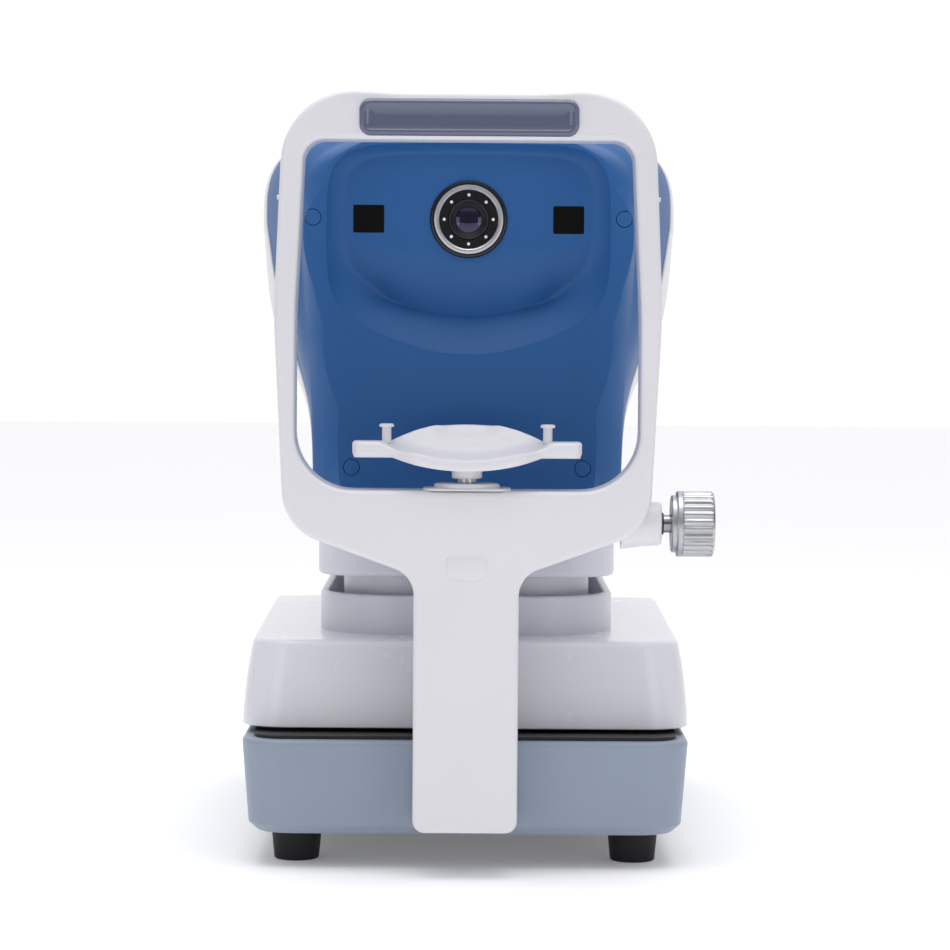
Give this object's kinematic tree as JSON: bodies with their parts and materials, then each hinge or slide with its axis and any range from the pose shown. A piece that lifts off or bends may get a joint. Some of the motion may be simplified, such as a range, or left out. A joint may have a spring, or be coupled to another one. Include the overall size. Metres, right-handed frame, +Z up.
{
  "type": "autorefractor",
  "caption": "Tabletop autorefractor: arched face support with chin rest and knob, moving stage on a low base, and a measuring head that lifts, with joystick, printer and tilting screen.",
  "frame": {"origin": "middle of the footprint, on the table that the feet stand on", "axes": "+Z up; the patient sits on the -Y side, the operator on the +Y side; +X is the knob's side"},
  "size_m": [0.2724, 0.4988, 0.4442],
  "materials": {
    "white_moulding": "satin white moulding",
    "blue_moulding": "satin blue moulding",
    "stage_moulding": "satin light grey moulding",
    "base_moulding": "satin blue-grey moulding",
    "black_plastic": "matte black",
    "foot_rubber": "matte",
    "pad_silicone": "smooth silicone",
    "knob_metal": "satin silver",
    "steel": "ground",
    "chrome": "polished",
    "cast_metal": "cast",
    "bronze": "sintered",
    "trim_silver": "satin",
    "lens_glass": "coated",
    "window_glass": "infrared-passing, near black",
    "lamp_clear": "clear epoxy",
    "screen_glass": "dark glass",
    "board_green": "solder mask",
    "paper_white": "thermal paper"
  },
  "bodies": {
    "base": {"base_lower_case": "base_moulding", "base_chassis": "cast_metal", "base_top_shroud": "black_plastic", "base_feet": "foot_rubber", "x_rails": "steel", "power_supply": "cast_metal", "mains_inlet": "black_plastic", "face_support": "white_moulding", "forehead_pad": "pad_silicone", "eye_level_marks": "white_moulding", "leg_bolts": "steel", "chin_knob_boss": "white_moulding", "knob_bush": "black_plastic", "chin_base_disc": "white_moulding"},
    "power_switch": {"power_rocker": "black_plastic"},
    "chin_rest": {"chin_tray": "white_moulding", "paper_pins": "white_moulding", "chin_post": "steel"},
    "chin_knob_shaft": {"chin_knob": "knob_metal", "knob_shaft": "chrome", "lift_pinion": "bronze"},
    "x_carriage": {"x_carriage_plate": "cast_metal", "x_bearing_blocks": "bronze", "y_rods": "steel"},
    "stage": {"stage_plate": "cast_metal", "y_bearing_blocks": "bronze", "stage_cover": "stage_moulding", "stage_collar": "stage_moulding", "lift_guide_rods": "steel", "lift_motor": "black_plastic", "printer_frame": "black_plastic"},
    "joystick_ring_body": {"joystick_gimbal": "steel"},
    "joystick": {"joystick_stem": "steel", "joystick_dome": "black_plastic", "joystick_grip": "black_plastic"},
    "height_dial": {"height_ring": "black_plastic"},
    "button": {"measure_button": "stage_moulding"},
    "stage_lock": {"stage_lock_knob": "black_plastic"},
    "printer_cover": {"printer_lid": "stage_moulding"},
    "paper": {"paper_roll": "paper_white"},
    "lift_drive": {"lift_screw": "steel"},
    "head": {"head_tray": "stage_moulding", "neck_sleeve": "stage_moulding", "head_housing": "white_moulding", "front_cover": "blue_moulding", "screw_caps": "blue_moulding", "side_windows": "window_glass", "lens_bezel": "black_plastic", "lens_trim_ring": "trim_silver", "lamp_carrier": "black_plastic", "measuring_lamps": "lamp_clear", "lens_barrel": "black_plastic", "objective_lens": "lens_glass", "optical_bench": "cast_metal", "camera_module": "black_plastic", "main_board": "board_green", "display_hinge": "steel"},
    "target": {"target_carriage": "black_plastic"},
    "display": {"display_frame": "white_moulding", "display_screen": "screen_glass"}
  },
  "joints": [
    {"name": "power_switch_rock", "type": "hinge", "parent": "base", "child": "power_switch", "pos_m": [-0.0607, 0.2416, 0.047], "axis": [1, 0, 0], "range_deg": [0, 14]},
    {"name": "chin_rest_lift", "type": "slide", "parent": "base", "child": "chin_rest", "axis": [0, 0, 1], "range_m": [0, 0.055]},
    {"name": "chin_knob_turn", "type": "hinge", "parent": "base", "child": "chin_knob_shaft", "pos_m": [0.0953, -0.2159, 0.202], "axis": [-1, 0, 0], "range_deg": [-1, 451.18]},
    {"name": "stage_x", "type": "slide", "parent": "base", "child": "x_carriage", "axis": [1, 0, 0], "range_m": [-0.043, 0.043]},
    {"name": "stage_y", "type": "slide", "parent": "x_carriage", "child": "stage", "axis": [0, 1, 0], "range_m": [-0.02, 0.02]},
    {"name": "head_lift", "type": "slide", "parent": "stage", "child": "head", "axis": [0, 0, 1], "range_m": [-0.01, 0.02]},
    {"name": "lift_screw_turn", "type": "hinge", "parent": "stage", "child": "lift_drive", "pos_m": [-0.0047, -0.0234, 0.122], "axis": [0, 0, 1], "range_deg": [-902.5, 1805]},
    {"name": "joystick_side", "type": "hinge", "parent": "stage", "child": "joystick_ring_body", "pos_m": [0.0253, 0.1876, 0.107], "axis": [1, 0, 0], "range_deg": [-12, 12]},
    {"name": "joystick_lean", "type": "hinge", "parent": "joystick_ring_body", "child": "joystick", "pos_m": [0.0253, 0.1876, 0.107], "axis": [0, 1, 0], "range_deg": [-12, 12]},
    {"name": "height_dial_turn", "type": "hinge", "parent": "joystick", "child": "height_dial", "pos_m": [0.0253, 0.1876, 0.157], "axis": [0, 0, 1], "continuous": true},
    {"name": "measure_button_press", "type": "slide", "parent": "joystick", "child": "button", "axis": [0, 0, -1], "range_m": [0, 0.002], "stiffness_N_per_m": 300, "springref_m": -0.001},
    {"name": "stage_lock_turn", "type": "hinge", "parent": "stage", "child": "stage_lock", "pos_m": [0.0903, 0.2256, 0.106], "axis": [0, 1, 0], "range_deg": [0, 120]},
    {"name": "printer_lid_open", "type": "hinge", "parent": "stage", "child": "printer_cover", "pos_m": [-0.0847, 0.2111, 0.1256], "axis": [-1, 0, 0], "range_deg": [0, 100]},
    {"name": "paper_roll_turn", "type": "hinge", "parent": "stage", "child": "paper", "pos_m": [-0.0847, 0.1876, 0.098], "axis": [1, 0, 0], "continuous": true},
    {"name": "target_focus", "type": "slide", "parent": "head", "child": "target", "axis": [0, 1, 0], "range_m": [-0.012, 0.012]},
    {"name": "display_tilt", "type": "hinge", "parent": "head", "child": "display", "pos_m": [-0.0047, 0.1606, 0.268], "axis": [-1, 0, 0], "range_deg": [0, 40]}
  ],
  "couplings": [
    {"joint": "chin_knob_turn", "follows": "chin_rest_lift", "rad_per_m": 142.86},
    {"joint": "lift_screw_turn", "follows": "head_lift", "rad_per_m": 1570.8}
  ]
}
